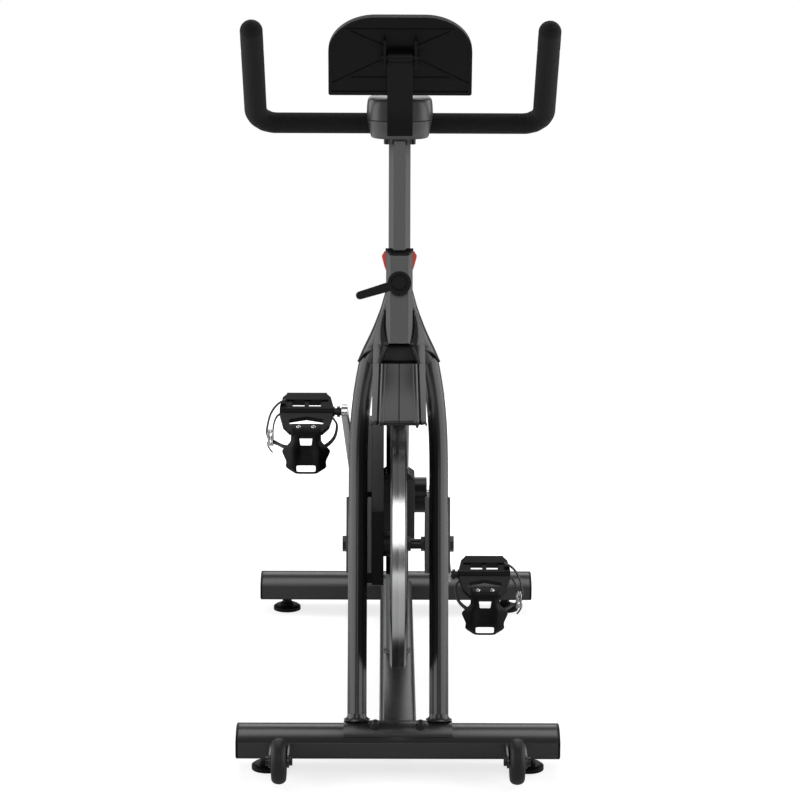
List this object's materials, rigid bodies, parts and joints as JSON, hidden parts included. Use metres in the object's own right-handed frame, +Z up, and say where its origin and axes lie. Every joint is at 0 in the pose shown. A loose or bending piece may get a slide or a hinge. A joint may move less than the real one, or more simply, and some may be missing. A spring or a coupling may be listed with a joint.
{
  "type": "indoor cycling bike",
  "caption": "Stationary indoor cycling bike with forked front legs, flywheel, toe-clip pedals, U-shaped foam handlebar, tablet holder, narrow saddle and transport wheels.",
  "frame": {"origin": "centre of the bounding box in X and Y, on the floor", "axes": "+Z up, -Y the front of the bike with the handlebar, +X the rider's left"},
  "size_m": [0.5, 1.015, 1.1534],
  "materials": {
    "frame_paint": "satin",
    "black_plastic": "matt",
    "gloss_plastic": "semi-gloss",
    "red_plastic": "matt",
    "rubber": "matt",
    "black_steel": "satin",
    "bare_steel": "turned",
    "dark_metal": "satin",
    "chrome": "polished",
    "webbing": "woven",
    "felt": "felt",
    "foam": "matt foam",
    "saddle_cover": "matt"
  },
  "bodies": {
    "frame": {"front_stabilizer": "frame_paint", "rear_stabilizer": "frame_paint", "stabilizer_caps": "black_plastic", "base_plate": "frame_paint", "frame_bolts": "black_steel", "floor_beam": "frame_paint", "left_leg": "frame_paint", "right_leg": "frame_paint", "crown": "frame_paint", "head_tube": "frame_paint", "head_bushing": "black_plastic", "bushing_tabs": "red_plastic", "fender": "frame_paint", "main_tube": "frame_paint", "seat_tube": "frame_paint", "seat_bushing": "black_plastic", "bottom_bracket": "frame_paint", "bearing_cups": "black_steel", "flywheel_axle": "black_steel", "drive_belt": "rubber", "belt_guard_outer": "black_plastic", "belt_guard_inner": "black_plastic"},
    "transport_wheel_left": {"transport_wheel_left": "rubber"},
    "transport_wheel_right": {"transport_wheel_right": "rubber"},
    "foot_front_left": {"foot_front_left": "black_plastic"},
    "foot_front_right": {"foot_front_right": "black_plastic"},
    "foot_rear_left": {"foot_rear_left": "black_plastic"},
    "foot_rear_right": {"foot_rear_right": "black_plastic"},
    "flywheel": {"flywheel": "bare_steel", "flywheel_hub": "dark_metal"},
    "cranks": {"drive_pulley": "dark_metal", "crank_axle": "chrome", "crank_left": "chrome", "crank_right": "chrome", "pedal_spindles": "black_steel"},
    "pedal_left": {"pedal_left": "black_plastic", "toe_clip_left": "black_plastic", "strap_left": "webbing", "buckle_left": "chrome"},
    "pedal_right": {"pedal_right": "black_plastic", "toe_clip_right": "black_plastic", "strap_right": "webbing", "buckle_right": "chrome"},
    "brake": {"brake_shoe": "felt"},
    "resistance_knob": {"resistance_knob": "black_plastic"},
    "seat_post": {"seat_post": "chrome", "seat_head": "black_steel"},
    "seat_post_knob": {"seat_post_knob": "black_plastic"},
    "seat": {"seat_slider": "frame_paint", "saddle_pan": "black_plastic", "saddle": "saddle_cover"},
    "slider_knob": {"slider_knob": "black_plastic"},
    "handlebar": {"handlebar_post": "frame_paint", "handlebar": "black_steel", "foam_grips": "foam", "console_lower": "gloss_plastic", "console_upper": "gloss_plastic", "tablet_arm": "black_plastic"},
    "post_lever": {"post_lever": "black_plastic"},
    "tablet_holder": {"tablet_holder": "black_plastic"}
  },
  "joints": [
    {"name": "flywheel_spin", "type": "hinge", "parent": "frame", "child": "flywheel", "pos_m": [0, -0.232, 0.32], "axis": [1, 0, 0], "continuous": true},
    {"name": "crank_spin", "type": "hinge", "parent": "frame", "child": "cranks", "pos_m": [0, 0.078, 0.32], "axis": [1, 0, 0], "continuous": true},
    {"name": "left_pedal_spin", "type": "hinge", "parent": "cranks", "child": "pedal_left", "pos_m": [0.149, 0.14031, 0.16183], "axis": [1, 0, 0], "continuous": true},
    {"name": "right_pedal_spin", "type": "hinge", "parent": "cranks", "child": "pedal_right", "pos_m": [-0.149, 0.0157, 0.47817], "axis": [1, 0, 0], "continuous": true},
    {"name": "left_wheel_spin", "type": "hinge", "parent": "frame", "child": "transport_wheel_left", "pos_m": [0.181, -0.4725, 0.044], "axis": [1, 0, 0], "continuous": true},
    {"name": "right_wheel_spin", "type": "hinge", "parent": "frame", "child": "transport_wheel_right", "pos_m": [-0.181, -0.4725, 0.044], "axis": [1, 0, 0], "continuous": true},
    {"name": "front_left_foot_turn", "type": "hinge", "parent": "frame", "child": "foot_front_left", "pos_m": [0.202, -0.3825, 0.004], "axis": [0, 0, 1], "range_deg": [-360, 360]},
    {"name": "front_right_foot_turn", "type": "hinge", "parent": "frame", "child": "foot_front_right", "pos_m": [-0.202, -0.3825, 0.004], "axis": [0, 0, 1], "range_deg": [-360, 360]},
    {"name": "rear_left_foot_turn", "type": "hinge", "parent": "frame", "child": "foot_rear_left", "pos_m": [0.202, 0.4675, 0.004], "axis": [0, 0, 1], "range_deg": [-360, 360]},
    {"name": "rear_right_foot_turn", "type": "hinge", "parent": "frame", "child": "foot_rear_right", "pos_m": [-0.202, 0.4675, 0.004], "axis": [0, 0, 1], "range_deg": [-360, 360]},
    {"name": "brake_press", "type": "slide", "parent": "frame", "child": "brake", "axis": [0, -0.2079, -0.9781], "range_m": [0, 0.0045], "stiffness_N_per_m": 2500, "springref_m": -0.003},
    {"name": "resistance_turn", "type": "hinge", "parent": "brake", "child": "resistance_knob", "pos_m": [0, -0.205, 0.64], "axis": [0, 0.2079, 0.9781], "range_deg": [-360, 360]},
    {"name": "seat_height", "type": "slide", "parent": "frame", "child": "seat_post", "axis": [0, 0.2924, 0.9563], "range_m": [-0.15, 0.05]},
    {"name": "seat_post_knob_turn", "type": "hinge", "parent": "frame", "child": "seat_post_knob", "pos_m": [0, 0.19917, 0.5925], "axis": [0, 0.9563, -0.2924], "range_deg": [-360, 360]},
    {"name": "seat_fore_aft", "type": "slide", "parent": "seat_post", "child": "seat", "axis": [0, 1, 0], "range_m": [-0.05, 0.05]},
    {"name": "slider_knob_turn", "type": "hinge", "parent": "seat_post", "child": "slider_knob", "pos_m": [0, 0.30221, 0.908], "axis": [0, 0, 1], "range_deg": [-360, 360]},
    {"name": "handlebar_height", "type": "slide", "parent": "frame", "child": "handlebar", "axis": [0, 0.2588, 0.9659], "range_m": [-0.025, 0.075]},
    {"name": "post_lever_turn", "type": "hinge", "parent": "frame", "child": "post_lever", "pos_m": [0, -0.28265, 0.74743], "axis": [0, -0.9659, 0.2588], "range_deg": [-90, 90]},
    {"name": "tablet_tilt", "type": "hinge", "parent": "handlebar", "child": "tablet_holder", "pos_m": [0, -0.25775, 1.0898], "axis": [1, 0, 0], "range_deg": [0, 35]}
  ],
  "couplings": [
    {"joint": "crank_spin", "follows": "flywheel_spin", "ratio": 0.2}
  ]
}
